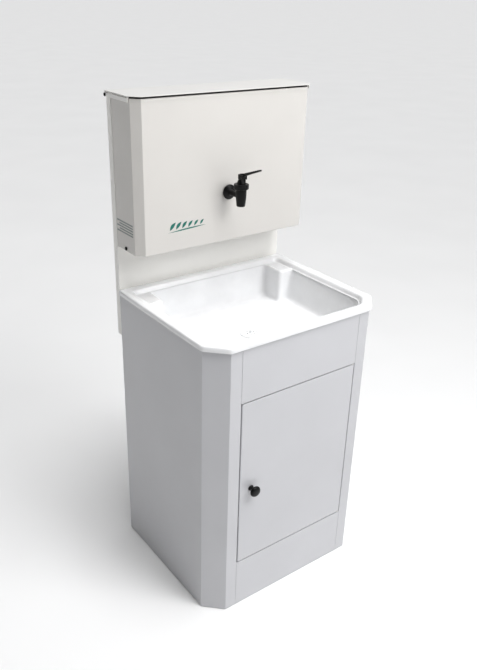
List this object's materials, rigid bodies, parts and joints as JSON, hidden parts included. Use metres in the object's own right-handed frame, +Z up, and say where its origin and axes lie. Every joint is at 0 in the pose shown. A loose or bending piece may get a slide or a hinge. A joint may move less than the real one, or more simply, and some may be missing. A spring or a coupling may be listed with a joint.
{
  "type": "portable handwash sink",
  "caption": "Free-standing handwash sink: bent-sheet cabinet with hinged door, moulded basin with drain, back panel, wall tank with hinged lid and self-closing lever tap.",
  "frame": {"origin": "on the floor, under the middle of the object's bounding box", "axes": "+Z up, -Y towards the user (door and tap side), +X to the user's right"},
  "size_m": [0.5048, 0.447, 1.1955],
  "materials": {
    "white_paint": "white powder coat, semi-gloss, faint orange peel",
    "basin_plastic": "glossy white moulded plastic",
    "black_plastic": "satin black moulded plastic",
    "zinc_steel": "zinc-plated steel",
    "rubber_seal": "matte black rubber",
    "silicone_cup": "translucent silicone",
    "nylon": "natural white nylon"
  },
  "bodies": {
    "cabinet": {"back_panel": "white_paint", "basin": "basin_plastic", "catch_screw_lower": "zinc_steel", "catch_screw_upper": "zinc_steel", "door_pin_bottom": "zinc_steel", "door_pin_top": "zinc_steel", "door_washer_bottom": "nylon", "door_washer_top": "nylon", "drain_body": "basin_plastic", "drain_gasket": "rubber_seal", "drain_nut": "basin_plastic", "left_side_panel": "white_paint", "lid_pin_left": "black_plastic", "lid_pin_right": "black_plastic", "lower_front_rail": "white_paint", "lower_rail_screw_left": "zinc_steel", "lower_rail_screw_right": "zinc_steel", "magnet_catch": "nylon", "panel_screw_left_high": "zinc_steel", "panel_screw_left_low": "zinc_steel", "panel_screw_right_high": "zinc_steel", "panel_screw_right_low": "zinc_steel", "rear_bottom_rail": "white_paint", "rear_rail_screw_left": "zinc_steel", "rear_rail_screw_right": "zinc_steel", "right_side_panel": "white_paint", "strainer_grate": "basin_plastic", "strainer_screw": "zinc_steel", "tank_hook_left": "zinc_steel", "tank_hook_right": "zinc_steel", "tank_shell": "white_paint", "tank_side_plug": "black_plastic", "tap_body": "black_plastic", "tap_bonnet": "black_plastic", "tap_collar": "black_plastic", "tap_gasket": "rubber_seal", "tap_inner_washer": "rubber_seal", "tap_lever_pin": "zinc_steel", "tap_lock_nut": "black_plastic", "tap_spring": "zinc_steel", "upper_front_rail": "white_paint", "upper_rail_screw_left": "zinc_steel", "upper_rail_screw_right": "zinc_steel"},
    "door": {"door_panel": "white_paint", "door_knob": "black_plastic", "knob_screw": "zinc_steel", "strike_plate": "zinc_steel"},
    "lid": {"tank_lid": "white_paint"},
    "lever": {"tap_lever": "black_plastic"},
    "stem": {"tap_stem": "black_plastic", "tap_seat_cup": "silicone_cup"}
  },
  "joints": [
    {"name": "door_hinge", "type": "hinge", "parent": "cabinet", "child": "door", "pos_m": [0.166, -0.1957, 0.3625], "axis": [0, 0, 1], "range_deg": [0, 110]},
    {"name": "lid_hinge", "type": "hinge", "parent": "cabinet", "child": "lid", "pos_m": [0, 0.2185, 1.1865], "axis": [-1, 0, 0], "range_deg": [0, 100]},
    {"name": "tap_lever_press", "type": "hinge", "parent": "cabinet", "child": "lever", "pos_m": [0, 0.0447, 1.0105], "axis": [1, 0, 0], "range_deg": [0, 25], "stiffness_Nm_per_rad": 0.06, "springref_deg": -22.92},
    {"name": "tap_stem_lift", "type": "slide", "parent": "cabinet", "child": "stem", "axis": [0, 0, 1], "range_m": [0, 0.00265], "deforming": ["tap_spring"]}
  ],
  "couplings": [
    {"joint": "tap_stem_lift", "follows": "tap_lever_press", "m_per_rad": 0.006}
  ]
}
